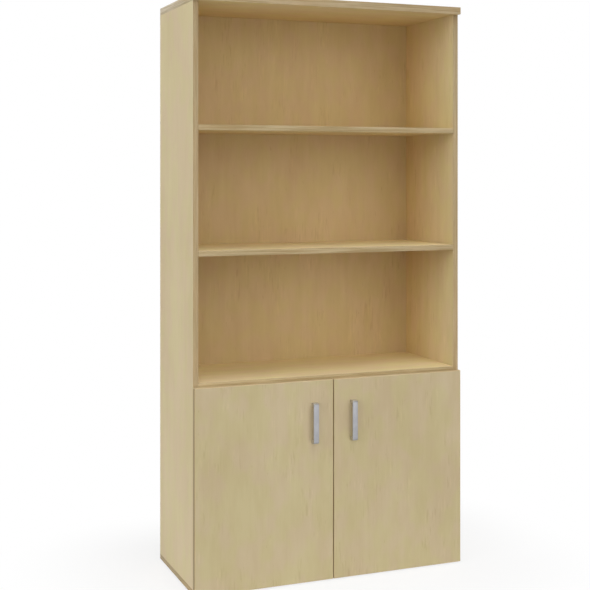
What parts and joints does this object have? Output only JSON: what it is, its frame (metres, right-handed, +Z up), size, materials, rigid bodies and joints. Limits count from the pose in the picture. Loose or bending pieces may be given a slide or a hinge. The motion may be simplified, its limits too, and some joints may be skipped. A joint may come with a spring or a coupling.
{
  "type": "bookcase with cabinet doors",
  "caption": "Tall board bookcase with open shelves above a cupboard closed by a pair of hinged doors with bow handles.",
  "frame": {"origin": "middle of the floor footprint, at the undersides of the glides", "axes": "+Z up, the doors face -Y, +X to the right as seen from the front"},
  "size_m": [1, 0.467, 2.015],
  "materials": {
    "maple_board": "light maple board with a satin laminate face",
    "maple_edge_band": "maple edge band with streaks along its length, satin",
    "satin_silver": "satin silver",
    "nickel_steel": "nickel plated",
    "zinc_steel": "bright zinc plated",
    "grey_plastic": "moulded, matt"
  },
  "bodies": {
    "carcass": {"back_panel": "maple_board", "base_panel": "maple_board", "base_panel_edge_band": "maple_edge_band", "cabinet_shelf": "maple_board", "cabinet_shelf_edge_band": "maple_edge_band", "cabinet_shelf_pin_back_left": "zinc_steel", "cabinet_shelf_pin_back_right": "zinc_steel", "cabinet_shelf_pin_front_left": "zinc_steel", "cabinet_shelf_pin_front_right": "zinc_steel", "fixed_shelf": "maple_board", "fixed_shelf_edge_band": "maple_edge_band", "glide_back_left": "grey_plastic", "glide_back_right": "grey_plastic", "glide_front_left": "grey_plastic", "glide_front_right": "grey_plastic", "hinge_left_lower_arm": "nickel_steel", "hinge_left_lower_plate": "nickel_steel", "hinge_left_upper_arm": "nickel_steel", "hinge_left_upper_plate": "nickel_steel", "hinge_right_lower_arm": "nickel_steel", "hinge_right_lower_plate": "nickel_steel", "hinge_right_upper_arm": "nickel_steel", "hinge_right_upper_plate": "nickel_steel", "shelf_lower": "maple_board", "shelf_lower_edge_band": "maple_edge_band", "shelf_lower_pin_back_left": "zinc_steel", "shelf_lower_pin_back_right": "zinc_steel", "shelf_lower_pin_front_left": "zinc_steel", "shelf_lower_pin_front_right": "zinc_steel", "shelf_upper": "maple_board", "shelf_upper_edge_band": "maple_edge_band", "shelf_upper_pin_back_left": "zinc_steel", "shelf_upper_pin_back_right": "zinc_steel", "shelf_upper_pin_front_left": "zinc_steel", "shelf_upper_pin_front_right": "zinc_steel", "side_left": "maple_board", "side_left_edge_band": "maple_edge_band", "side_right": "maple_board", "side_right_edge_band": "maple_edge_band", "top_panel": "maple_board", "top_panel_edge_band": "maple_edge_band"},
    "door_left": {"door_left": "maple_board", "door_left_edge_band": "maple_edge_band", "door_left_handle": "satin_silver", "door_left_handle_screw_lower": "zinc_steel", "door_left_handle_screw_upper": "zinc_steel", "hinge_left_lower_cup": "nickel_steel", "hinge_left_upper_cup": "nickel_steel"},
    "door_right": {"door_right": "maple_board", "door_right_edge_band": "maple_edge_band", "door_right_handle": "satin_silver", "door_right_handle_screw_lower": "zinc_steel", "door_right_handle_screw_upper": "zinc_steel", "hinge_right_lower_cup": "nickel_steel", "hinge_right_upper_cup": "nickel_steel"},
    "hinge_left_lower_link_body": {"hinge_left_lower_link": "nickel_steel"},
    "hinge_left_upper_link_body": {"hinge_left_upper_link": "nickel_steel"},
    "hinge_right_lower_link_body": {"hinge_right_lower_link": "nickel_steel"},
    "hinge_right_upper_link_body": {"hinge_right_upper_link": "nickel_steel"}
  },
  "joints": [
    {"name": "door_left_hinge", "type": "hinge", "parent": "carcass", "child": "door_left", "pos_m": [-0.495, -0.2085, 0.35], "axis": [0, 0, -1], "range_deg": [0, 95]},
    {"name": "hinge_left_lower_link_pivot", "type": "hinge", "parent": "carcass", "child": "hinge_left_lower_link_body", "pos_m": [-0.4676, -0.2002, 0.1055], "axis": [0, 0, 1], "range_deg": [0, 50]},
    {"name": "hinge_left_upper_link_pivot", "type": "hinge", "parent": "carcass", "child": "hinge_left_upper_link_body", "pos_m": [-0.4676, -0.2002, 0.5985], "axis": [0, 0, 1], "range_deg": [0, 50]},
    {"name": "door_right_hinge", "type": "hinge", "parent": "carcass", "child": "door_right", "pos_m": [0.495, -0.2085, 0.35], "axis": [0, 0, 1], "range_deg": [0, 95]},
    {"name": "hinge_right_lower_link_pivot", "type": "hinge", "parent": "carcass", "child": "hinge_right_lower_link_body", "pos_m": [0.4676, -0.2002, 0.1055], "axis": [0, 0, -1], "range_deg": [0, 50]},
    {"name": "hinge_right_upper_link_pivot", "type": "hinge", "parent": "carcass", "child": "hinge_right_upper_link_body", "pos_m": [0.4676, -0.2002, 0.5985], "axis": [0, 0, -1], "range_deg": [0, 50]}
  ],
  "couplings": [
    {"joint": "hinge_left_lower_link_pivot", "follows": "door_left_hinge", "ratio": 0.52},
    {"joint": "hinge_left_upper_link_pivot", "follows": "door_left_hinge", "ratio": 0.52},
    {"joint": "hinge_right_lower_link_pivot", "follows": "door_right_hinge", "ratio": 0.52},
    {"joint": "hinge_right_upper_link_pivot", "follows": "door_right_hinge", "ratio": 0.52}
  ]
}
